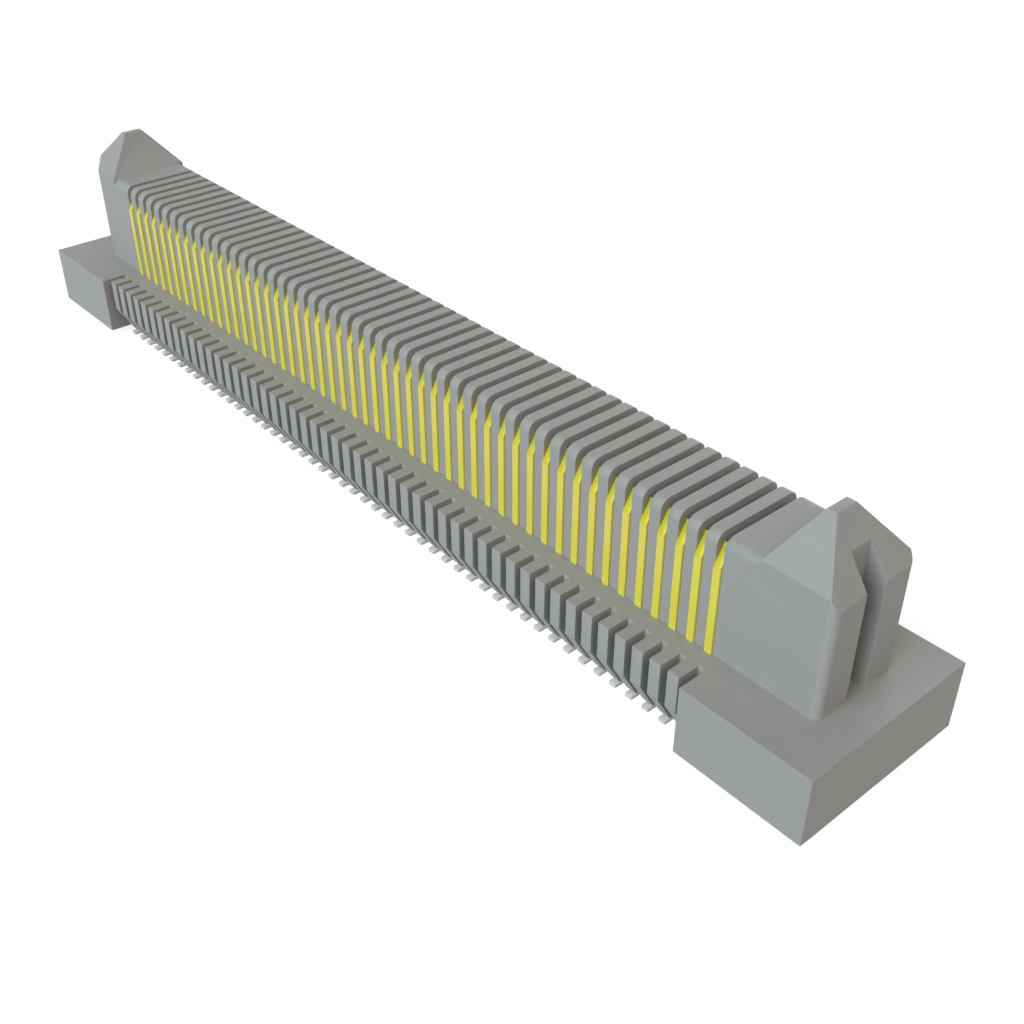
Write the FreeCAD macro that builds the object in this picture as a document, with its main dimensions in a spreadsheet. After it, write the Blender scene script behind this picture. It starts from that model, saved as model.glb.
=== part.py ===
import FreeCAD, Part
import os
import Sketcher

# Surface-mount board to board header, millimetres and degrees.
# X runs along the contact rows, Y across them, Z up from the board.
# The origin is the centre of the footprint, on the plane of the solder feet.

DRIVING_SIZES = (
    # Contact rows
    ("positions", 50, "contact pairs along the header"),
    ("pitch", 0.80, "distance between neighbouring pairs"),
    # Contact strip
    ("contact_width", 0.31, "width of the strip along the header"),
    ("contact_thickness", 0.17, "thickness of the strip"),
    ("contact_clearance", 0.005, "gap between the strip and the plastic around it"),
    ("blade_proud", 0.08, "how far the blade stands out of the tongue wall"),
    ("blade_height", 6.31, "height of the tip bend above the underside"),
    ("blade_tip_length", 0.89, "length of the tip that leans into its slot"),
    ("blade_tip_angle", 30, "lean of that tip from upright"),
    ("foot_reach", 1.01, "length of the solder foot beyond the blade face"),
    ("foot_bend_radius", 0.10, "inner radius of the foot bend"),
    ("underside_gap", 0.02, "plain strip between the foot bend and the underside"),
    # Base with its two end blocks and the comb along each side
    ("base_height", 2.83, "underside to the top of the base"),
    ("block_width", 7.92, "width of the base at the end blocks"),
    ("block_length", 5.285, "length of one end block"),
    ("comb_width", 7.29, "width of the base over the ribs"),
    ("comb_slot_width", 0.31, "width of a slot between two ribs"),
    ("comb_slot_depth", 0.935, "depth of that slot from the face of the ribs"),
    ("rib_relief_height", 1.29, "height at which a rib starts to slope in"),
    ("rib_relief_angle", 30, "slope of the rib's lower face from upright"),
    # Tongue that carries the contacts
    ("tongue_thickness", 3.90, "thickness of the tongue and the posts"),
    ("tongue_height", 7.465, "underside to the top of the tongue"),
    ("tongue_edge_radius", 0.40, "rounding of the tongue's two long top edges"),
    ("cross_slot_depth", 0.62, "depth of the slots that cross the tongue's top"),
    # Guide posts
    ("post_setback", 0.975, "inner face of the end block to the foot of the post's lead-in"),
    ("post_length", 2.87, "length of a post along the header"),
    ("post_height", 9.217, "underside to the ridge of a post"),
    ("ridge_length", 0.375, "length of the flat ridge"),
    ("inner_slope_angle", 60, "slope of the post's inner face from level"),
    ("outer_slope_angle", 55, "slope of the post's outer face from level"),
    ("side_slope_angle", 50, "slope of the post's side faces from level"),
    ("post_corner_radius", 0.30, "rounding of the near post's upright outer corners"),
    ("post_corner_cut", 1.13, "flat across the far post's upright outer corners, which keys the header"),
    ("notch_width", 0.955, "width of the keyway in the post's outer face"),
    ("notch_depth", 0.80, "depth of that keyway"),
)

# How far a cutting outline runs past the plastic, so that no skin is left.
OVERCUT = 0.5

# Smallest distance or volume that counts as a difference.
TOLERANCE = 1e-4

# Flat steps to a quarter turn in the roundings that every contact position repeats.
# Each step stays within 0.01 mm of the true arc, which keeps the facets few.
TONGUE_EDGE_STEPS = 4
OUTER_BEND_STEPS = 3
INNER_BEND_STEPS = 2

# Heights, as expressions on the sheet of sizes
UNDERSIDE = "(Sizes.contact_thickness + Sizes.foot_bend_radius + Sizes.underside_gap)"
SHELF = f"({UNDERSIDE} + Sizes.base_height)"
TONGUE_TOP = f"({UNDERSIDE} + Sizes.tongue_height)"
POST_TOP = f"({UNDERSIDE} + Sizes.post_height)"
TIP_BEND = f"({UNDERSIDE} + Sizes.blade_height)"
CROSS_SLOT_FLOOR = f"({TONGUE_TOP} - Sizes.cross_slot_depth)"
RIB_RELIEF_TOP = f"({UNDERSIDE} + Sizes.rib_relief_height)"

# Distances from the middle of the header along X
FIRST_PAIR = "(-(Sizes.positions - 1) / 2 * Sizes.pitch)"
FIRST_COMB_SLOT = "(-Sizes.positions / 2 * Sizes.pitch)"
BLOCK_INNER = "((Sizes.positions * Sizes.pitch + Sizes.comb_slot_width) / 2)"
BLOCK_OUTER = f"({BLOCK_INNER} + Sizes.block_length)"
POST_INNER = f"({BLOCK_INNER} + Sizes.post_setback)"
POST_OUTER = f"({POST_INNER} + Sizes.post_length)"
CORNER_CUT_START = f"({POST_OUTER} - Sizes.post_corner_cut)"
RIDGE_INNER = f"({POST_INNER} + ({POST_TOP} - {TONGUE_TOP}) / tan(Sizes.inner_slope_angle))"
RIDGE_OUTER = f"({RIDGE_INNER} + Sizes.ridge_length)"
NOTCH_INNER = f"({POST_OUTER} - Sizes.notch_depth)"
OUTER_EAVE = f"({POST_TOP} - ({POST_OUTER} - {RIDGE_OUTER}) * tan(Sizes.outer_slope_angle))"

# Distances from the middle of the header along Y
WALL = "(Sizes.tongue_thickness / 2)"
EDGE_CENTRE_Y = f"({WALL} - Sizes.tongue_edge_radius)"
EDGE_CENTRE_Z = f"({TONGUE_TOP} - Sizes.tongue_edge_radius)"
BLOCK_SIDE = "(Sizes.block_width / 2)"
RIB_FACE = "(Sizes.comb_width / 2)"
RIB_HEEL = f"({RIB_FACE} - Sizes.rib_relief_height * tan(Sizes.rib_relief_angle))"
COMB_SLOT_FLOOR = f"({RIB_FACE} - Sizes.comb_slot_depth)"
CORNER_CUT_SIDE = f"({WALL} - Sizes.post_corner_cut)"
RIDGE_SIDE = f"({WALL} - ({POST_TOP} - {TONGUE_TOP}) / tan(Sizes.side_slope_angle))"
BLADE_FACE = f"({WALL} + Sizes.blade_proud)"
BLADE_BACK = f"({BLADE_FACE} - Sizes.contact_thickness)"
FOOT_TIP = f"({BLADE_FACE} + Sizes.foot_reach)"

# Foot bend: both its arcs share one centre
BEND_CENTRE_Y = f"({BLADE_FACE} + Sizes.foot_bend_radius)"
BEND_CENTRE_Z = "(Sizes.contact_thickness + Sizes.foot_bend_radius)"
OUTER_BEND_RADIUS = BEND_CENTRE_Z

# Tip of the blade: the strip leans inwards from the bend and ends in a square cut
TIP_FACE_Y = f"({BLADE_FACE} - Sizes.blade_tip_length * sin(Sizes.blade_tip_angle))"
TIP_FACE_Z = f"({TIP_BEND} + Sizes.blade_tip_length * cos(Sizes.blade_tip_angle))"
TIP_BACK_Y = f"({TIP_FACE_Y} - Sizes.contact_thickness * cos(Sizes.blade_tip_angle))"
TIP_BACK_Z = f"({TIP_FACE_Z} - Sizes.contact_thickness * sin(Sizes.blade_tip_angle))"
BACK_BEND = f"({TIP_BEND} - Sizes.contact_thickness * tan(Sizes.blade_tip_angle / 2))"

# Channel that seats the strip: the same bend, one clearance further out all round
CHANNEL_WIDTH = "(Sizes.contact_width + 2 * Sizes.contact_clearance)"
CHANNEL_FRONT = f"({BLADE_FACE} + Sizes.contact_clearance)"
CHANNEL_BACK = f"({BLADE_BACK} - Sizes.contact_clearance)"
CHANNEL_BEND = f"({BACK_BEND} - Sizes.contact_clearance * tan(Sizes.blade_tip_angle / 2))"
CHANNEL_RUN = f"(({CROSS_SLOT_FLOOR} - {CHANNEL_BEND}) * tan(Sizes.blade_tip_angle))"
CHANNEL_END = f"({CHANNEL_BACK} - {CHANNEL_RUN})"


def minus(expression):
    return f"-{expression}"


def make_sheet(doc):
    sheet = doc.addObject("Spreadsheet::Sheet", "Sizes")
    for row, (alias, value, meaning) in enumerate(DRIVING_SIZES, start=1):
        sheet.set(f"A{row}", meaning)
        sheet.set(f"B{row}", str(value))
        sheet.setAlias(f"B{row}", alias)
    doc.recompute()
    return sheet


def value_of(sheet, expression):
    return float(sheet.evalExpression(expression))


def origin_feature(body, role):
    return next(item for item in body.Origin.OriginFeatures if item.Role == role)


def make_sketch(body, name, plane, loops, lift=None):
    """Sketch closed straight-sided loops, with both coordinates of every corner bound."""
    sketch = body.newObject("Sketcher::SketchObject", name)
    sketch.AttachmentSupport = [(origin_feature(body, plane), "")]
    sketch.MapMode = "FlatFace"
    if lift:
        sketch.setExpression("AttachmentOffset.Base.z", lift)
    for loop in loops:
        first = sketch.GeometryCount
        corners = [
            FreeCAD.Vector(value_of(sketch, across), value_of(sketch, up), 0)
            for across, up in loop
        ]
        count = len(corners)
        for number, corner in enumerate(corners):
            following = corners[(number + 1) % count]
            sketch.addGeometry(Part.LineSegment(corner, following), False)
        for number, (across, up) in enumerate(loop):
            line = first + number
            next_line = first + (number + 1) % count
            sketch.addConstraint(Sketcher.Constraint("Coincident", line, 2, next_line, 1))
            corner = corners[number]
            for kind, reading, bound in (("DistanceX", corner.x, across), ("DistanceY", corner.y, up)):
                held = sketch.addConstraint(Sketcher.Constraint(kind, -1, 1, line, 1, reading))
                label = f"corner{line}_{kind[-1].lower()}"
                sketch.renameConstraint(held, label)
                sketch.setExpression(f"Constraints.{label}", bound)
    return sketch


def extrude(body, kind, name, sketch, length):
    """Pad or pocket a sketch by half the length to each side of its plane."""
    feature = body.newObject(f"PartDesign::{kind}", name)
    feature.Profile = sketch
    feature.SideType = "Symmetric"
    feature.setExpression("Length", length)
    sketch.Visibility = False
    body.Tip = feature
    return feature


def pad_up(body, name, sketch, length):
    feature = body.newObject("PartDesign::Pad", name)
    feature.Profile = sketch
    feature.setExpression("Length", length)
    body.Tip = feature
    return feature


def edges_at(shape, direction, places):
    """Names of the straight edges along a direction whose middle lies over one of the places."""
    found = []
    for number, edge in enumerate(shape.Edges, start=1):
        if edge.Curve.TypeId != "Part::GeomLine":
            continue
        if edge.Curve.Direction.cross(direction).Length > TOLERANCE:
            continue
        for place in places:
            offset = edge.CenterOfMass - place
            across = offset - direction * offset.dot(direction)
            if across.Length < TOLERANCE:
                found.append(f"Edge{number}")
    return found


def round_edges(body, name, base, edges, radius):
    feature = body.newObject("PartDesign::Fillet", name)
    feature.Base = (base, edges)
    feature.setExpression("Radius", radius)
    body.Tip = feature
    return feature


def repeat_along_x(body, name, feature, count, spacing):
    pattern = body.newObject("PartDesign::LinearPattern", name)
    pattern.Originals = [feature]
    pattern.Direction = (origin_feature(body, "X_Axis"), [""])
    pattern.setExpression("Length", f"({count} - 1) * {spacing}")
    pattern.setExpression("Occurrences", count)
    body.Tip = pattern
    return pattern


def box_outline(half_across, low, high):
    return [
        (minus(half_across), low),
        (half_across, low),
        (half_across, high),
        (minus(half_across), high),
    ]


def mirrored(loop):
    return [(minus(across), up) for across, up in loop]


def quarter_turn(centre_across, centre_up, radius, start, steps):
    """Corners of a quarter circle that runs anticlockwise from the start angle in degrees."""
    angles = [start + 90 * step / steps for step in range(steps + 1)]
    return [
        (f"({centre_across} + {radius} * cos({angle}))", f"({centre_up} + {radius} * sin({angle}))")
        for angle in angles
    ]


def add_base(doc, body):
    """End blocks joined by the narrower comb, with the ribs sloped in below."""
    plan = [
        (BLOCK_OUTER, minus(BLOCK_SIDE)),
        (BLOCK_OUTER, BLOCK_SIDE),
        (BLOCK_INNER, BLOCK_SIDE),
        (BLOCK_INNER, RIB_FACE),
        (minus(BLOCK_INNER), RIB_FACE),
        (minus(BLOCK_INNER), BLOCK_SIDE),
        (minus(BLOCK_OUTER), BLOCK_SIDE),
        (minus(BLOCK_OUTER), minus(BLOCK_SIDE)),
        (minus(BLOCK_INNER), minus(BLOCK_SIDE)),
        (minus(BLOCK_INNER), minus(RIB_FACE)),
        (BLOCK_INNER, minus(RIB_FACE)),
        (BLOCK_INNER, minus(BLOCK_SIDE)),
    ]
    base_plan = make_sketch(body, "base_plan", "XY_Plane", [plan], UNDERSIDE)
    pad_up(body, "base", base_plan, "Sizes.base_height")

    relief = [
        (RIB_HEEL, UNDERSIDE),
        (RIB_FACE, RIB_RELIEF_TOP),
        (f"({RIB_FACE} + {OVERCUT})", RIB_RELIEF_TOP),
        (f"({RIB_FACE} + {OVERCUT})", f"({UNDERSIDE} - {OVERCUT})"),
        (RIB_HEEL, f"({UNDERSIDE} - {OVERCUT})"),
    ]
    relief_section = make_sketch(body, "relief_section", "YZ_Plane", [relief, mirrored(relief)])
    extrude(body, "Pocket", "rib_relief", relief_section, f"2 * {BLOCK_INNER}")
    doc.recompute()


def add_tongue(doc, body):
    """Upright wall between the posts, with its two long top edges rounded."""
    edge = quarter_turn(EDGE_CENTRE_Y, EDGE_CENTRE_Z, "Sizes.tongue_edge_radius", 0, TONGUE_EDGE_STEPS)
    half = [(WALL, UNDERSIDE)] + edge
    section = half + mirrored(half)[::-1]
    tongue_section = make_sketch(body, "tongue_section", "YZ_Plane", [section])
    extrude(body, "Pad", "tongue", tongue_section, f"2 * {POST_INNER}")
    doc.recompute()


def add_posts(doc, body, sheet):
    """Two guide posts with hipped tops and a keyway each.

    The outer corners of the post at +X are rounded, and those of the post at -X are cut flat.
    """
    near_plan = [
        (POST_INNER, minus(WALL)),
        (POST_OUTER, minus(WALL)),
        (POST_OUTER, WALL),
        (POST_INNER, WALL),
    ]
    far_plan = [
        (minus(POST_INNER), minus(WALL)),
        (minus(CORNER_CUT_START), minus(WALL)),
        (minus(POST_OUTER), minus(CORNER_CUT_SIDE)),
        (minus(POST_OUTER), CORNER_CUT_SIDE),
        (minus(CORNER_CUT_START), WALL),
        (minus(POST_INNER), WALL),
    ]
    post_plan = make_sketch(body, "post_plan", "XY_Plane", [near_plan, far_plan], UNDERSIDE)
    posts = pad_up(body, "posts", post_plan, "Sizes.post_height")
    doc.recompute()

    end = value_of(sheet, POST_OUTER)
    wall = value_of(sheet, WALL)
    corners = [FreeCAD.Vector(end, y, 0) for y in (-wall, wall)]
    names = edges_at(posts.Shape, FreeCAD.Vector(0, 0, 1), corners)
    round_edges(body, "post_rounding", posts, names, "Sizes.post_corner_radius")

    above = f"({POST_TOP} + {OVERCUT})"
    beyond = f"({POST_OUTER} + {OVERCUT})"
    inner_slope = [
        (POST_INNER, TONGUE_TOP),
        (RIDGE_INNER, POST_TOP),
        (RIDGE_INNER, above),
        (POST_INNER, above),
    ]
    outer_slope = [
        (RIDGE_OUTER, POST_TOP),
        (POST_OUTER, OUTER_EAVE),
        (beyond, OUTER_EAVE),
        (beyond, above),
        (RIDGE_OUTER, above),
    ]
    end_slopes = [inner_slope, mirrored(inner_slope), outer_slope, mirrored(outer_slope)]
    end_section = make_sketch(body, "end_slope_section", "XZ_Plane", end_slopes)
    extrude(body, "Pocket", "end_slopes", end_section, f"2 * ({WALL} + {OVERCUT})")

    outside = f"({WALL} + {OVERCUT})"
    side_slope = [
        (WALL, TONGUE_TOP),
        (RIDGE_SIDE, POST_TOP),
        (RIDGE_SIDE, above),
        (outside, above),
        (outside, TONGUE_TOP),
    ]
    side_section = make_sketch(body, "side_slope_section", "YZ_Plane", [side_slope, mirrored(side_slope)])
    extrude(body, "Pocket", "side_slopes", side_section, f"2 * {beyond}")

    keyway = [
        (NOTCH_INNER, SHELF),
        (beyond, SHELF),
        (beyond, above),
        (NOTCH_INNER, above),
    ]
    keyway_section = make_sketch(body, "keyway_section", "XZ_Plane", [keyway, mirrored(keyway)])
    extrude(body, "Pocket", "keyways", keyway_section, "Sizes.notch_width")
    doc.recompute()


def add_contact_channels(doc, body):
    """One channel for each pair: up through the base, along both walls and across the top."""
    below = f"({UNDERSIDE} - {OVERCUT})"
    above = f"({TONGUE_TOP} + {OVERCUT})"
    half = [
        (CHANNEL_FRONT, above),
        (CHANNEL_FRONT, below),
        (CHANNEL_BACK, below),
        (CHANNEL_BACK, CHANNEL_BEND),
        (CHANNEL_END, CROSS_SLOT_FLOOR),
    ]
    section = half + mirrored(half)[::-1]
    sketch = make_sketch(body, "channel_section", "YZ_Plane", [section], FIRST_PAIR)
    channel = extrude(body, "Pocket", "contact_channel", sketch, CHANNEL_WIDTH)
    repeat_along_x(body, "contact_channels", channel, "Sizes.positions", "Sizes.pitch")
    doc.recompute()


def add_comb_slots(doc, body):
    """Slots between the ribs on both sides, from the underside to the top of the base."""
    slot = [
        (COMB_SLOT_FLOOR, f"({UNDERSIDE} - {OVERCUT})"),
        (f"({RIB_FACE} + {OVERCUT})", f"({UNDERSIDE} - {OVERCUT})"),
        (f"({RIB_FACE} + {OVERCUT})", f"({SHELF} + {OVERCUT})"),
        (COMB_SLOT_FLOOR, f"({SHELF} + {OVERCUT})"),
    ]
    sketch = make_sketch(body, "comb_slot_section", "YZ_Plane", [slot, mirrored(slot)], FIRST_COMB_SLOT)
    comb_slot = extrude(body, "Pocket", "comb_slot", sketch, "Sizes.comb_slot_width")
    repeat_along_x(body, "comb_slots", comb_slot, "Sizes.positions + 1", "Sizes.pitch")
    doc.recompute()


def make_housing(doc, sheet):
    """The one moulded piece of insulator."""
    body = doc.addObject("PartDesign::Body", "housing")
    add_base(doc, body)
    add_tongue(doc, body)
    add_posts(doc, body, sheet)
    add_contact_channels(doc, body)
    add_comb_slots(doc, body)
    return body


def make_front_contact(doc):
    """One stamped strip: solder foot, upright blade and a tip that leans into the tongue."""
    body = doc.addObject("PartDesign::Body", "front_contact")
    inner_bend = quarter_turn(BEND_CENTRE_Y, BEND_CENTRE_Z, "Sizes.foot_bend_radius", 180, INNER_BEND_STEPS)
    outer_bend = quarter_turn(BEND_CENTRE_Y, BEND_CENTRE_Z, OUTER_BEND_RADIUS, 180, OUTER_BEND_STEPS)
    foot_end = [(FOOT_TIP, "0"), (FOOT_TIP, "Sizes.contact_thickness")]
    blade_tip = [
        (BLADE_FACE, TIP_BEND),
        (TIP_FACE_Y, TIP_FACE_Z),
        (TIP_BACK_Y, TIP_BACK_Z),
        (BLADE_BACK, BACK_BEND),
    ]
    strip = foot_end + inner_bend[::-1] + blade_tip + outer_bend
    strip_section = make_sketch(body, "strip_section", "YZ_Plane", [mirrored(strip)])
    extrude(body, "Pad", "strip", strip_section, "Sizes.contact_width")
    doc.recompute()
    return body


def make_contact_pairs(doc, sheet):
    """Two facing contacts for every position along the tongue, each pair in its place."""
    front = make_front_contact(doc)
    rear = doc.addObject("Part::Mirroring", "rear_contact")
    rear.Source = front
    rear.Base = FreeCAD.Vector(0, 0, 0)
    rear.Normal = FreeCAD.Vector(0, 1, 0)
    pairs = []
    for number in range(int(value_of(sheet, "Sizes.positions"))):
        pair = doc.addObject("Part::Compound", f"contact_pair_{number + 1:02d}")
        pair.Links = [front, rear]
        pair.setExpression("Placement.Base.x", f"{FIRST_PAIR} + {number} * Sizes.pitch")
        pairs.append(pair)
    doc.recompute()
    return pairs


def check_document(doc, nodes):
    """Stop before anything is written if an object failed or a solid is unsound."""
    for item in doc.Objects:
        if "Invalid" in item.State or "Error" in item.State:
            raise RuntimeError(f"{item.Name} did not recompute: {item.State}")
    for body in (item for item in doc.Objects if item.TypeId == "PartDesign::Body"):
        volume = None
        for feature in body.Group:
            if not feature.isDerivedFrom("PartDesign::Feature"):
                continue
            cuts = feature.TypeId in ("PartDesign::Pocket", "PartDesign::LinearPattern")
            if cuts and feature.Shape.Volume > volume - TOLERANCE:
                raise RuntimeError(f"{feature.Name} removed nothing")
            volume = feature.Shape.Volume
    for node in nodes:
        if node.Shape.isNull() or not node.Shape.isValid():
            raise RuntimeError(f"{node.Label} has no sound shape")


def main():
    doc = FreeCAD.newDocument("board_header")
    sheet = make_sheet(doc)
    nodes = [make_housing(doc, sheet)]
    nodes += make_contact_pairs(doc, sheet)
    doc.recompute()
    check_document(doc, nodes)
    os.makedirs("parts", exist_ok=True)
    for node in nodes:
        node.Shape.exportStep(os.path.join("parts", f"{node.Label}.step"))
        print(node.Label, len(node.Shape.Solids), "solids", round(node.Shape.Volume, 5), "mm3")


main()
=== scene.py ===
import math

import bmesh
import bpy
from mathutils import Matrix, Vector


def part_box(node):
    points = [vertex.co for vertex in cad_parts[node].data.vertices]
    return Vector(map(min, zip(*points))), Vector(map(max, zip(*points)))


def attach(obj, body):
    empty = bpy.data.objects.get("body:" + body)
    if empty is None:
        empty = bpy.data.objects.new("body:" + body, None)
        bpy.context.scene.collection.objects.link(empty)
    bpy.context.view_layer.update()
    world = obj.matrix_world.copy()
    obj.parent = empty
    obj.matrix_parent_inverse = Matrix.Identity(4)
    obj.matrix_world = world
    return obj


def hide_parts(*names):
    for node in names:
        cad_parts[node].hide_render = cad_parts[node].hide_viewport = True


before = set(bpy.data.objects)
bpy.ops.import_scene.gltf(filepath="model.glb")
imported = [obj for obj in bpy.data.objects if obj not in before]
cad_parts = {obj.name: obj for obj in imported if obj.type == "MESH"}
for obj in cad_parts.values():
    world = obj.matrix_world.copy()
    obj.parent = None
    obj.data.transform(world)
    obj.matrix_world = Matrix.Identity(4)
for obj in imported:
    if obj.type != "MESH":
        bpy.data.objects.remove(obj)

bl_info = {
    "name": "Board to board header",
    "version": (1, 0, 0),
    "blender": (4, 5, 0),
    "location": "View3D > Sidebar > Header",
    "description": "Dresses a fine-pitch header with its moulded housing, plated contacts and a studio stage",
    "category": "Object",
}

MILLIMETRE = 0.001

HOUSING_NODE = "housing"
PAIR_NODES = sorted(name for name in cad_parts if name.startswith("contact_pair_"))
FIRST_PAIR_LOW, FIRST_PAIR_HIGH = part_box(PAIR_NODES[0])

# Distance under which two corners of the copied housing are one corner.
WELD_DISTANCE = 0.001 * MILLIMETRE

# Brightness of the open floor, a little over white so that grain in the light doesn't show.
WHITE_FLOOR = 1.08

# Faces that meet at less than this angle are one flat.
FLAT_ANGLE = math.radians(1)

# Surfaces that meet at less than this angle are one rounding, and more is an edge.
ROUNDING_ANGLE = math.radians(28)

# Once the edges are bevelled, faces that meet at less than this angle are shaded as one.
SMOOTH_ANGLE = math.radians(50)

# How much more a large face counts than a bevel in the shading, as Blender's modifier has it.
FLAT_FACE_WEIGHT = 100

# Flat steps in the foot bend of a contact.
FOOT_BEND_STEPS = 4

# Width of the camera's sensor in millimetres, which the lens is given for.
SENSOR_WIDTH = 36

WHITE = (1, 1, 1)

# Sockets of a mix node for colours: its factor, its two colours and its result.
MIX_FACTOR, MIX_FIRST, MIX_SECOND = 0, 6, 7
MIX_RESULT = 2


# Every colour below is linear, as Blender's colour sockets take it.
class HousingFinish(bpy.types.PropertyGroup):
    edge_easing: bpy.props.FloatProperty(
        name="Edge easing",
        description="Width of the small bevel that a mould leaves on every edge",
        default=0.02 * MILLIMETRE,
        unit="LENGTH",
    )
    colour: bpy.props.FloatVectorProperty(
        name="Plastic",
        description="Main colour of the glass-filled plastic",
        default=(0.315, 0.322, 0.312),
        subtype="COLOR",
    )
    flow_colour: bpy.props.FloatVectorProperty(
        name="Flow marks",
        description="Colour of the faint streaks that the plastic leaves as it fills the mould",
        default=(0.306, 0.313, 0.303),
        subtype="COLOR",
    )
    flow_length: bpy.props.FloatProperty(
        name="Flow length",
        description="Length of a streak along the header",
        default=4.0 * MILLIMETRE,
        unit="LENGTH",
    )
    flow_width: bpy.props.FloatProperty(
        name="Flow width",
        description="Width of a streak",
        default=1.0 * MILLIMETRE,
        unit="LENGTH",
    )
    flow_contrast: bpy.props.FloatProperty(
        name="Flow contrast",
        description="How far the streaks are drawn out towards their two colours",
        default=2.0,
    )
    grain_size: bpy.props.FloatProperty(
        name="Grain",
        description="Size of the grain that the mould's surface prints on the plastic",
        default=0.05 * MILLIMETRE,
        unit="LENGTH",
    )
    grain_depth: bpy.props.FloatProperty(
        name="Grain depth",
        description="Depth of that grain",
        default=0.0006 * MILLIMETRE,
        unit="LENGTH",
    )
    roughness: bpy.props.FloatProperty(
        name="Roughness",
        description="Middle roughness of the matte plastic",
        default=0.62,
        subtype="FACTOR",
    )
    roughness_swing: bpy.props.FloatProperty(
        name="Roughness swing",
        description="How far the grain takes the roughness below and above its middle",
        default=0.08,
        subtype="FACTOR",
    )


class ContactForm(bpy.types.PropertyGroup):
    thickness: bpy.props.FloatProperty(
        name="Strip thickness",
        description="Thickness of the strip that a contact is bent from",
        default=0.17 * MILLIMETRE,
        unit="LENGTH",
    )
    blade_face: bpy.props.FloatProperty(
        name="Blade face",
        description="Distance of the blade's outer face from the middle of the header",
        default=2.03 * MILLIMETRE,
        unit="LENGTH",
    )
    foot_bend_radius: bpy.props.FloatProperty(
        name="Foot bend",
        description="Inner radius of the bend between the blade and its solder foot",
        default=0.10 * MILLIMETRE,
        unit="LENGTH",
    )
    tip_length: bpy.props.FloatProperty(
        name="Tip length",
        description="Length of the tip that leans into the tongue",
        default=0.89 * MILLIMETRE,
        unit="LENGTH",
    )
    tip_angle: bpy.props.FloatProperty(
        name="Tip angle",
        description="Lean of the tip from upright",
        default=math.radians(30),
        subtype="ANGLE",
    )
    edge_easing: bpy.props.FloatProperty(
        name="Edge easing",
        description="Width of the bevel on the stamped edges",
        default=0.012 * MILLIMETRE,
        unit="LENGTH",
    )
    plating_line: bpy.props.FloatProperty(
        name="Plating line",
        description="Height at which the tinned tail ends and the gilt blade starts, inside the base",
        default=1.6 * MILLIMETRE,
        unit="LENGTH",
    )
    plating_fade: bpy.props.FloatProperty(
        name="Plating fade",
        description="Distance above and below a plating line over which one colour turns to the next",
        default=0.085 * MILLIMETRE,
        unit="LENGTH",
    )
    # Painted light: above this height the blade is painted paler, standing in for the shading along its
    # height.
    painted_light_from: bpy.props.FloatProperty(
        name="Painted light from",
        description="Height above which the gilding is painted paler as painted light, up to the tip bend",
        default=4.9 * MILLIMETRE,
        unit="LENGTH",
    )
    gilt: bpy.props.FloatVectorProperty(
        name="Gilt",
        description="Colour of the plated blade",
        default=(0.735, 0.66, 0.07),
        subtype="COLOR",
    )
    # Painted light: the paler gilt of the upper blade, for the shading there.
    upper_gilt_painted_light: bpy.props.FloatVectorProperty(
        name="Upper gilt with painted light",
        description="Paler colour painted on the upper blade as painted light",
        default=(0.735, 0.655, 0.085),
        subtype="COLOR",
    )
    # Painted shade: the tip is painted deeper, standing in for the shade where it leans into the slot.
    tip_gilt_painted_shade: bpy.props.FloatVectorProperty(
        name="Tip gilt with painted shade",
        description="Deeper colour painted on the tip that leans into the tongue, as painted shade",
        default=(0.62, 0.555, 0.025),
        subtype="COLOR",
    )
    tin: bpy.props.FloatVectorProperty(
        name="Tin",
        description="Colour of the tinned foot",
        default=(0.64, 0.63, 0.61),
        subtype="COLOR",
    )
    patch_size: bpy.props.FloatProperty(
        name="Patch size",
        description="Size of the faint patches in the plating",
        default=0.17 * MILLIMETRE,
        unit="LENGTH",
    )
    patch_contrast: bpy.props.FloatProperty(
        name="Patch contrast",
        description="How far a patch is paler or stronger in colour than the rest",
        default=0.06,
        subtype="FACTOR",
    )
    metal_share: bpy.props.FloatProperty(
        name="Metal share",
        description="How far the satin plating reflects as a metal and not as a paint",
        default=0.05,
        subtype="FACTOR",
    )
    gloss_level: bpy.props.FloatProperty(
        name="Gloss level",
        description="Strength of the clear reflection over the plating's own colour",
        default=0.2,
        subtype="FACTOR",
    )
    gilt_roughness: bpy.props.FloatProperty(
        name="Gilt roughness",
        description="Middle roughness of the plated blade",
        default=0.22,
        subtype="FACTOR",
    )
    tin_roughness: bpy.props.FloatProperty(
        name="Tin roughness",
        description="Middle roughness of the tinned foot",
        default=0.5,
        subtype="FACTOR",
    )
    drawn_line: bpy.props.FloatProperty(
        name="Drawn line",
        description="Spacing of the fine lines that rolling leaves along the strip",
        default=0.015 * MILLIMETRE,
        unit="LENGTH",
    )
    line_length: bpy.props.FloatProperty(
        name="Line length",
        description="Length of one of those lines",
        default=0.3 * MILLIMETRE,
        unit="LENGTH",
    )
    line_depth: bpy.props.FloatProperty(
        name="Line depth",
        description="Depth of those lines",
        default=0.00025 * MILLIMETRE,
        unit="LENGTH",
    )
    line_roughness: bpy.props.FloatProperty(
        name="Line roughness",
        description="Roughness that those lines add",
        default=0.16,
        subtype="FACTOR",
    )


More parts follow.
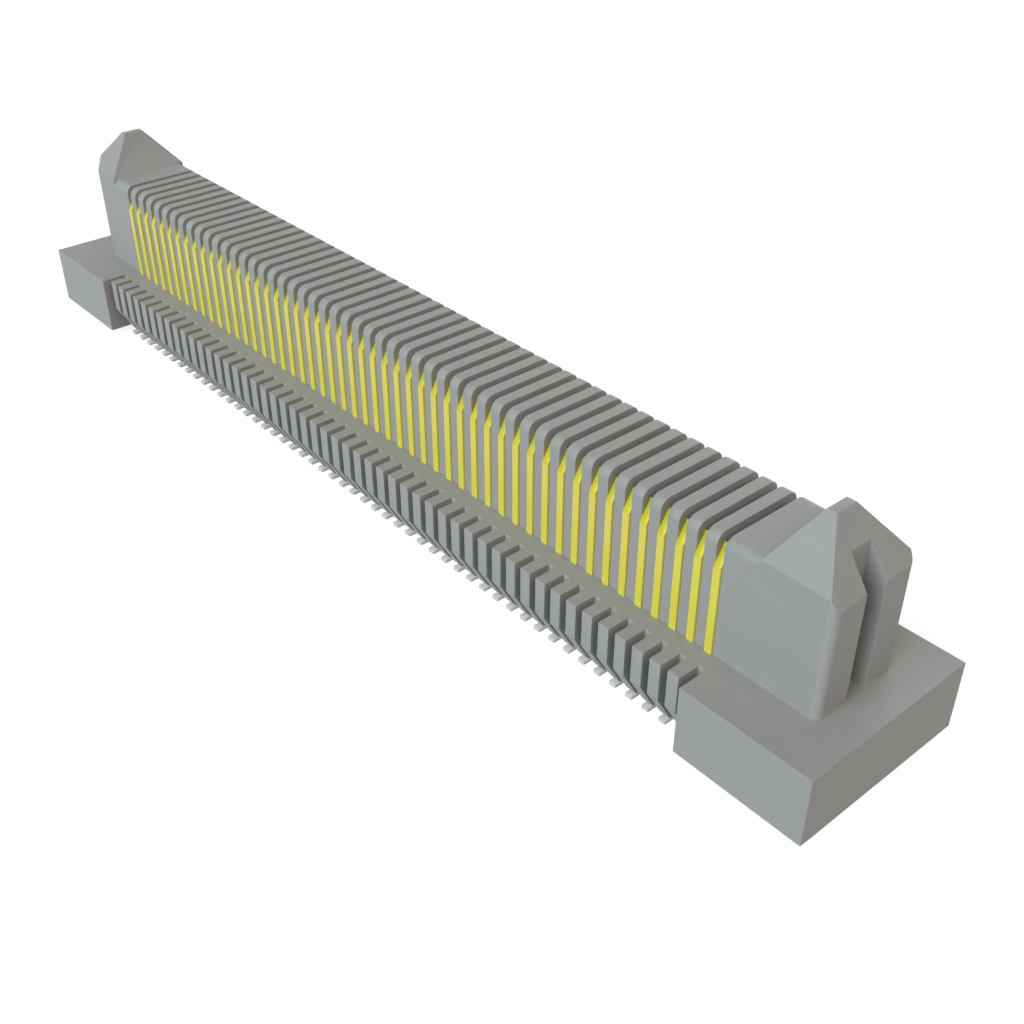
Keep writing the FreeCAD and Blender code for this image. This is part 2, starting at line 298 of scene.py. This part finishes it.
class StageSettings(bpy.types.PropertyGroup):
    floor_size: bpy.props.FloatProperty(
        name="Floor size",
        description="Side of the square floor",
        default=1.2,
        unit="LENGTH",
    )
    floor_bounce: bpy.props.FloatProperty(
        name="Floor bounce",
        description="Share of the light that the floor gives back to the part",
        default=0.35,
        subtype="FACTOR",
    )
    floor_mottle: bpy.props.FloatProperty(
        name="Floor mottle",
        description="How much less light the darkest patches of the floor give back",
        default=0.02,
        subtype="FACTOR",
    )
    mottle_size: bpy.props.FloatProperty(
        name="Mottle size",
        description="Size of those patches",
        default=20 * MILLIMETRE,
        unit="LENGTH",
    )
    room_light: bpy.props.FloatVectorProperty(
        name="Room light",
        description="Even light from all round",
        default=(0.215, 0.215, 0.225),
        subtype="COLOR",
    )
    key_light: bpy.props.FloatVectorProperty(
        name="Key light",
        description="Colour and strength of the soft lamp in front",
        default=(2.27, 2.52, 2.69),
        subtype="COLOR",
    )
    key_from: bpy.props.FloatVectorProperty(
        name="Key direction",
        description="Direction from the part to that lamp",
        default=(0.07, -0.88, 0.50),
        subtype="DIRECTION",
    )
    fill_light: bpy.props.FloatVectorProperty(
        name="Fill light",
        description="Colour and strength of the soft lamp at the right-hand end",
        default=(0.83, 0.62, 0.46),
        subtype="COLOR",
    )
    fill_from: bpy.props.FloatVectorProperty(
        name="Fill direction",
        description="Direction from the part to that lamp",
        default=(0.75, -0.10, 0.62),
        subtype="DIRECTION",
    )
    back_light: bpy.props.FloatVectorProperty(
        name="Back light",
        description="Colour and strength of the soft lamp behind, which only the hidden sides meet",
        default=(1.8, 1.8, 1.8),
        subtype="COLOR",
    )
    back_from: bpy.props.FloatVectorProperty(
        name="Back direction",
        description="Direction from the part to that lamp",
        default=(-0.35, 0.93, 0.08),
        subtype="DIRECTION",
    )
    lamp_spread: bpy.props.FloatProperty(
        name="Lamp spread",
        description="Angle that a lamp fills, which softens its shadows",
        default=math.radians(50),
        subtype="ANGLE",
    )
    camera_place: bpy.props.FloatVectorProperty(
        name="Camera",
        description="Where the camera stands",
        default=(39.062 * MILLIMETRE, -27.315 * MILLIMETRE, 30.586 * MILLIMETRE),
        subtype="XYZ",
        unit="LENGTH",
    )
    camera_azimuth: bpy.props.FloatProperty(
        name="Azimuth",
        description="Turn of the camera round the part, from straight in front",
        default=math.radians(49.132),
        subtype="ANGLE",
    )
    camera_elevation: bpy.props.FloatProperty(
        name="Elevation",
        description="Height of the camera's line of sight above level",
        default=math.radians(34.948),
        subtype="ANGLE",
    )
    lens: bpy.props.FloatProperty(
        name="Lens",
        description="Focal length on a 36 mm wide sensor, in millimetres",
        default=44.36,
        unit="CAMERA",
    )


def start_material(name):
    """Give a new material and its empty node tree."""
    material = bpy.data.materials.new(name)
    material.use_nodes = True
    material.node_tree.nodes.clear()
    return material, material.node_tree


def plug(tree, value, socket):
    """Link the value if it is another node's output, else set it on the socket."""
    if isinstance(value, bpy.types.NodeSocket):
        tree.links.new(value, socket)
    else:
        socket.default_value = value


def add_node(tree, kind, settings=None, **inputs):
    """Add a shader node; inputs are named as its sockets, with _ for a space."""
    node = tree.nodes.new(kind)
    for name, value in (settings or {}).items():
        setattr(node, name, value)
    for name, value in inputs.items():
        plug(tree, value, node.inputs[name.replace("_", " ")])
    return node


def mix_colours(tree, factor, first, second):
    """Mix two colours by a factor: 0 gives the first, 1 the second."""
    node = tree.nodes.new("ShaderNodeMix")
    node.data_type = "RGBA"
    for value, place in ((factor, MIX_FACTOR), (first, MIX_FIRST), (second, MIX_SECOND)):
        plug(tree, value, node.inputs[place])
    return node.outputs[MIX_RESULT]


def bands(tree, height, top, stops):
    """Colours along the height of a strip that ends at the given top, as (height, colour) stops."""
    share = add_node(tree, "ShaderNodeMapRange", Value=height, From_Max=top)
    ramp = tree.nodes.new("ShaderNodeValToRGB")
    tree.links.new(share.outputs["Result"], ramp.inputs[0])
    marks = ramp.color_ramp.elements
    for place, colour in stops[1:-1]:
        marks.new(place / top).color = opaque(colour)
    for mark, (place, colour) in ((marks[0], stops[0]), (marks[-1], stops[-1])):
        mark.position = place / top
        mark.color = opaque(colour)
    return ramp.outputs["Color"]


def spread(tree, factor, low, high):
    """Map a 0 to 1 texture to the range from low to high."""
    node = add_node(tree, "ShaderNodeMapRange", Value=factor, To_Min=low, To_Max=high)
    return node.outputs["Result"]


def swing(tree, factor, middle, reach):
    """Map a 0 to 1 texture to the range that reaches as far below a middle value as above it."""
    return spread(tree, factor, middle - reach, middle + reach)


def noise(tree, stretch, detail):
    """Noise on Object coordinates, with its grain as long as stretch says along X, Y and Z."""
    place = add_node(tree, "ShaderNodeTexCoord").outputs["Object"]
    scaled = add_node(tree, "ShaderNodeMapping", Vector=place, Scale=[1 / length for length in stretch])
    texture = add_node(tree, "ShaderNodeTexNoise", Vector=scaled.outputs[0], Scale=1.0, Detail=detail)
    return texture.outputs["Fac"]


def opaque(colour):
    return (*colour, 1.0)


def moulded_plastic(finish):
    """Matte glass-filled plastic with faint flow streaks and a fine mould grain."""
    material, tree = start_material("moulded_plastic")
    flow = noise(tree, (finish.flow_length, finish.flow_width, finish.flow_width), detail=4.0)
    grain = noise(tree, (finish.grain_size,) * 3, detail=2.0)
    streaks = swing(tree, flow, 0.5, finish.flow_contrast / 2)
    colour = mix_colours(tree, streaks, opaque(finish.flow_colour), opaque(finish.colour))
    bump = add_node(tree, "ShaderNodeBump", Strength=1.0, Distance=finish.grain_depth, Height=grain)
    shader = add_node(
        tree,
        "ShaderNodeBsdfPrincipled",
        Base_Color=colour,
        Roughness=swing(tree, grain, finish.roughness, finish.roughness_swing),
        Normal=bump.outputs[0],
    )
    add_node(tree, "ShaderNodeOutputMaterial", Surface=shader.outputs[0])
    return material


def plated_strip(form):
    """Copper alloy strip, tinned at the foot and gilt on the blade, with fine drawn lines. The upper blade is
    painted paler as painted light, and the tip deeper as painted shade.
    """
    material, tree = start_material("plated_strip")
    lines = noise(tree, (form.drawn_line, form.drawn_line, form.line_length), detail=3.0)
    patches = noise(tree, (form.patch_size,) * 3, detail=2.0)
    place = add_node(tree, "ShaderNodeTexCoord").outputs["Object"]
    height = add_node(tree, "ShaderNodeSeparateXYZ", Vector=place).outputs["Z"]
    fade = form.plating_fade
    gilding = add_node(
        tree,
        "ShaderNodeMapRange",
        Value=height,
        From_Min=form.plating_line - fade,
        From_Max=form.plating_line + fade,
    ).outputs["Result"]
    bend = FIRST_PAIR_HIGH.z - form.tip_length * math.cos(form.tip_angle)
    stops = (
        (form.plating_line - fade, form.tin),
        (form.plating_line + fade, form.gilt),
        # From here up to the tip bend the blade is painted paler, as painted light for the shading along its
        # height.
        (form.painted_light_from - fade, form.gilt),
        (form.painted_light_from + fade, form.upper_gilt_painted_light),
        (bend - fade / 2, form.upper_gilt_painted_light),
        # The tip is painted deeper, as painted shade where it leans into the slot.
        (bend, form.tip_gilt_painted_shade),
    )
    plating = bands(tree, height, FIRST_PAIR_HIGH.z, stops)
    patch_value = swing(tree, patches, 1.0, form.patch_contrast)
    worn_plating = add_node(tree, "ShaderNodeHueSaturation", Value=patch_value, Color=plating)
    gloss = add_node(
        tree,
        "ShaderNodeMapRange",
        Value=gilding,
        To_Min=form.tin_roughness,
        To_Max=form.gilt_roughness,
    ).outputs["Result"]
    worn = add_node(tree, "ShaderNodeMath", {"operation": "MULTIPLY_ADD"})
    for value, socket in zip((lines, form.line_roughness, gloss), worn.inputs):
        plug(tree, value, socket)
    bump = add_node(tree, "ShaderNodeBump", Strength=1.0, Distance=form.line_depth, Height=lines)
    shader = add_node(
        tree,
        "ShaderNodeBsdfPrincipled",
        Base_Color=worn_plating.outputs[0],
        Metallic=form.metal_share,
        Specular_IOR_Level=form.gloss_level,
        Roughness=worn.outputs[0],
        Normal=bump.outputs[0],
    )
    add_node(tree, "ShaderNodeOutputMaterial", Surface=shader.outputs[0])
    return material


def seen_rays(tree):
    """1 for rays that show the backdrop: straight to the camera, or through gloss or glass."""
    path = add_node(tree, "ShaderNodeLightPath")
    total = path.outputs["Is Camera Ray"]
    for name in ("Is Glossy Ray", "Is Transmission Ray"):
        joined = add_node(tree, "ShaderNodeMath", {"operation": "MAXIMUM"})
        tree.links.new(total, joined.inputs[0])
        tree.links.new(path.outputs[name], joined.inputs[1])
        total = joined.outputs[0]
    return total


def lamps_of(stage):
    """Each lamp's name, its light and the direction in which it stands."""
    return (
        ("key", stage.key_light, stage.key_from),
        ("fill", stage.fill_light, stage.fill_from),
        ("back", stage.back_light, stage.back_from),
    )


def floor_light(stage):
    """Light that reaches the open floor from the room and the lamps, as the weakest colour has it."""
    direct = sum(
        min(light) / math.pi * Vector(place).normalized().z for name, light, place in lamps_of(stage)
    )
    return min(stage.room_light) + direct


def floor_paint(stage):
    """White to the eye and pale grey to the light, with the part's shadow on it."""
    material, tree = start_material("floor_paint")
    lit = stage.floor_bounce * floor_light(stage)
    mottle = noise(tree, (stage.mottle_size,) * 3, detail=2.0)
    grey = spread(tree, mottle, (1 - stage.floor_mottle) * stage.floor_bounce, stage.floor_bounce)
    colour = add_node(tree, "ShaderNodeCombineColor", Red=grey, Green=grey, Blue=grey)
    matte = add_node(tree, "ShaderNodeBsdfDiffuse", Color=colour.outputs[0])
    lift = add_node(tree, "ShaderNodeMath", {"operation": "MULTIPLY"})
    plug(tree, seen_rays(tree), lift.inputs[0])
    plug(tree, WHITE_FLOOR - lit, lift.inputs[1])
    glow = add_node(tree, "ShaderNodeEmission", Strength=lift.outputs[0])
    both = add_node(tree, "ShaderNodeAddShader")
    tree.links.new(matte.outputs[0], both.inputs[0])
    tree.links.new(glow.outputs[0], both.inputs[1])
    add_node(tree, "ShaderNodeOutputMaterial", Surface=both.outputs[0])
    return material


def deselect_all():
    if bpy.context.object and bpy.context.object.mode != "OBJECT":
        bpy.ops.object.mode_set(mode="OBJECT")
    bpy.ops.object.select_all(action="DESELECT")


def make_active(piece):
    deselect_all()
    piece.select_set(True)
    bpy.context.view_layer.objects.active = piece


def select_corners(piece, wanted):
    """In edit mode, select the corners whose place passes the test, and what lies between them."""
    shape = bmesh.from_edit_mesh(piece.data)
    for corner in shape.verts:
        corner.select_set(wanted(corner.co))
    shape.select_mode = {"VERT"}
    shape.select_flush_mode()
    bmesh.update_edit_mesh(piece.data)


def extrude(offset):
    bpy.ops.mesh.extrude_region_move(TRANSFORM_OT_translate={"value": offset})


def apply_modifier(piece, kind, **settings):
    make_active(piece)
    modifier = piece.modifiers.new(kind.lower(), kind)
    for name, value in settings.items():
        setattr(modifier, name, value)
    bpy.ops.object.modifier_apply(modifier=modifier.name)


def weigh_outer_edges(piece):
    """Weigh for the bevel each edge that stands out; the roundings and the inside corners stay."""
    shape = bmesh.new()
    shape.from_mesh(piece.data)
    weight = shape.edges.layers.float.new("bevel_weight_edge")
    for edge in shape.edges:
        turn = edge.calc_face_angle_signed(0)
        edge[weight] = 1.0 if turn > ROUNDING_ANGLE else 0.0
    shape.to_mesh(piece.data)
    shape.free()


def ease_edges(piece, width, segments):
    """Bevel the outer edges, and shade the roundings smooth and the flats flat."""
    weigh_outer_edges(piece)
    apply_modifier(
        piece,
        "BEVEL",
        width=width,
        segments=segments,
        limit_method="WEIGHT",
        use_clamp_overlap=False,
    )
    bpy.ops.object.shade_smooth_by_angle(angle=SMOOTH_ANGLE)
    apply_modifier(piece, "WEIGHTED_NORMAL", keep_sharp=True, weight=FLAT_FACE_WEIGHT)


def finish_piece(piece, material, slot, *nodes):
    piece.data.materials.clear()
    piece.data.materials.append(material)
    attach(piece, "root")
    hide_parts(*nodes)


class HEADER_OT_housing(bpy.types.Operator):
    """Finish the moulded housing: one skin, its edges eased and its roundings smooth"""

    bl_idname = "header.housing"
    bl_label = "Housing"

    def execute(self, context):
        finish = context.scene.housing_finish
        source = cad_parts[HOUSING_NODE]
        piece = bpy.data.objects.new("moulded_housing", source.data.copy())
        context.scene.collection.objects.link(piece)
        make_active(piece)
        bpy.ops.object.mode_set(mode="EDIT")
        bpy.ops.mesh.select_all(action="SELECT")
        bpy.ops.mesh.remove_doubles(threshold=WELD_DISTANCE)
        bpy.ops.mesh.customdata_custom_splitnormals_clear()
        bpy.ops.mesh.dissolve_limited(angle_limit=FLAT_ANGLE)
        bpy.ops.object.mode_set(mode="OBJECT")
        ease_edges(piece, finish.edge_easing, segments=2)
        finish_piece(piece, moulded_plastic(finish), "housing_plastic", HOUSING_NODE)
        return {"FINISHED"}


class HEADER_OT_contact_pairs(bpy.types.Operator):
    """Bend one contact from its strip, mirror it, and set a pair at every position"""

    bl_idname = "header.contact_pairs"
    bl_label = "Contact pairs"

    def execute(self, context):
        form = context.scene.contact_form
        first = self.bend_contact(form)
        apply_modifier(first, "MIRROR", use_axis=(False, True, False), use_mirror_merge=False)
        ease_edges(first, form.edge_easing, segments=1)
        material = plated_strip(form)
        start = (FIRST_PAIR_LOW.x + FIRST_PAIR_HIGH.x) / 2
        for node in PAIR_NODES:
            low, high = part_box(node)
            piece = bpy.data.objects.new(node.replace("contact_pair", "plated_pair"), first.data.copy())
            context.scene.collection.objects.link(piece)
            piece.data.transform(Matrix.Translation(((low.x + high.x) / 2 - start, 0, 0)))
            finish_piece(piece, material, "plated_contact", node)
        bpy.data.objects.remove(first)
        return {"FINISHED"}

    def bend_contact(self, form):
        """The front contact of the first pair, from its foot up to its tip."""
        low, high = FIRST_PAIR_LOW, FIRST_PAIR_HIGH
        middle = (low.x + high.x) / 2
        thickness = form.thickness
        bend_y = -form.blade_face - form.foot_bend_radius
        bend_z = thickness + form.foot_bend_radius
        back_y = -form.blade_face + thickness
        lean = Vector((0, math.sin(form.tip_angle), math.cos(form.tip_angle)))
        tip_start = high.z - form.tip_length * lean.z
        mitre = thickness * math.tan(form.tip_angle / 2)

        deselect_all()
        bpy.ops.mesh.primitive_plane_add(
            size=1,
            location=(middle, low.y, thickness / 2),
            rotation=(math.pi / 2, 0, 0),
        )
        piece = bpy.context.object
        piece.name = "front_contact"
        piece.scale = (high.x - low.x, thickness, 1)
        bpy.ops.object.transform_apply(location=True, rotation=True, scale=True)
        bpy.ops.object.mode_set(mode="EDIT")
        bpy.ops.mesh.select_all(action="SELECT")
        extrude((0, bend_y - low.y, 0))
        bpy.ops.mesh.spin(
            steps=FOOT_BEND_STEPS,
            angle=-math.pi / 2,
            center=(middle, bend_y, bend_z),
            axis=(1, 0, 0),
        )
        extrude((0, 0, tip_start - bend_z))
        select_corners(piece, lambda at: at.z > tip_start - WELD_DISTANCE and at.y > back_y - WELD_DISTANCE)
        bpy.ops.transform.translate(value=(0, 0, -mitre))
        select_corners(piece, lambda at: at.z > tip_start - mitre - WELD_DISTANCE)
        extrude(lean * form.tip_length)
        top = tip_start - mitre + form.tip_length * lean.z
        select_corners(piece, lambda at: abs(at.z - top) < WELD_DISTANCE)
        bpy.ops.transform.translate(value=-mitre * lean)
        bpy.ops.mesh.select_all(action="SELECT")
        bpy.ops.mesh.normals_make_consistent(inside=False)
        bpy.ops.object.mode_set(mode="OBJECT")
        return piece


class HEADER_OT_stage(bpy.types.Operator):
    """Set the white floor, the soft lamps, the room light and the camera"""

    bl_idname = "header.stage"
    bl_label = "Stage"

    def execute(self, context):
        stage = context.scene.stage_settings
        self.lay_floor(stage)
        self.light_room(context, stage)
        for name, light, place in lamps_of(stage):
            self.hang_lamp(context, name, light, place, stage.lamp_spread)
        self.place_camera(context, stage)
        context.scene.view_settings.view_transform = "Standard"
        return {"FINISHED"}

    def lay_floor(self, stage):
        deselect_all()
        bpy.ops.mesh.primitive_plane_add(size=stage.floor_size)
        floor = bpy.context.object
        floor.name = "floor"
        floor.data.materials.append(floor_paint(stage))

    def light_room(self, context, stage):
        world = bpy.data.worlds.new("room")
        context.scene.world = world
        world.use_nodes = True
        tree = world.node_tree
        tree.nodes.clear()
        colour = mix_colours(tree, seen_rays(tree), opaque(stage.room_light), opaque(WHITE))
        light = add_node(tree, "ShaderNodeBackground", Color=colour, Strength=1.0)
        add_node(tree, "ShaderNodeOutputWorld", Surface=light.outputs[0])

    def hang_lamp(self, context, name, light, place, angle):
        lamp = bpy.data.lights.new(name, "SUN")
        lamp.energy = max(light)
        lamp.color = [part / lamp.energy for part in light]
        lamp.angle = angle
        holder = bpy.data.objects.new(name, lamp)
        holder.rotation_euler = Vector(place).to_track_quat("Z", "Y").to_euler()
        context.scene.collection.objects.link(holder)

    def place_camera(self, context, stage):
        azimuth, elevation = stage.camera_azimuth, stage.camera_elevation
        back = Vector(
            (
                math.sin(azimuth) * math.cos(elevation),
                -math.cos(azimuth) * math.cos(elevation),
                math.sin(elevation),
            )
        )
        eye = bpy.data.cameras.new("camera")
        eye.sensor_width = SENSOR_WIDTH
        eye.lens = stage.lens
        eye.clip_start = 1 * MILLIMETRE
        eye.clip_end = 4 * stage.floor_size
        camera = bpy.data.objects.new("camera", eye)
        camera.location = stage.camera_place
        camera.rotation_euler = (-back).to_track_quat("-Z", "Y").to_euler()
        context.scene.collection.objects.link(camera)
        context.scene.camera = camera


class HEADER_PT_pieces(bpy.types.Panel):
    """Sizes and finishes of the header, with a button for each piece"""

    bl_idname = "HEADER_PT_pieces"
    bl_label = "Board to board header"
    bl_space_type = "VIEW_3D"
    bl_region_type = "UI"
    bl_category = "Header"

    def draw(self, context):
        groups = (
            (context.scene.housing_finish, HEADER_OT_housing),
            (context.scene.contact_form, HEADER_OT_contact_pairs),
            (context.scene.stage_settings, HEADER_OT_stage),
        )
        for group, operator in groups:
            box = self.layout.box()
            for name in group.__annotations__:
                box.prop(group, name)
            box.operator(operator.bl_idname)


CLASSES = (
    HousingFinish,
    ContactForm,
    StageSettings,
    HEADER_OT_housing,
    HEADER_OT_contact_pairs,
    HEADER_OT_stage,
    HEADER_PT_pieces,
)


def register():
    for item in CLASSES:
        bpy.utils.register_class(item)
    bpy.types.Scene.housing_finish = bpy.props.PointerProperty(type=HousingFinish)
    bpy.types.Scene.contact_form = bpy.props.PointerProperty(type=ContactForm)
    bpy.types.Scene.stage_settings = bpy.props.PointerProperty(type=StageSettings)


def unregister():
    del bpy.types.Scene.stage_settings
    del bpy.types.Scene.contact_form
    del bpy.types.Scene.housing_finish
    for item in reversed(CLASSES):
        bpy.utils.unregister_class(item)


def main():
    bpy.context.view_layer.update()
    register()
    bpy.ops.header.housing()
    bpy.ops.header.contact_pairs()
    bpy.ops.header.stage()


if __name__ == "__main__":
    main()
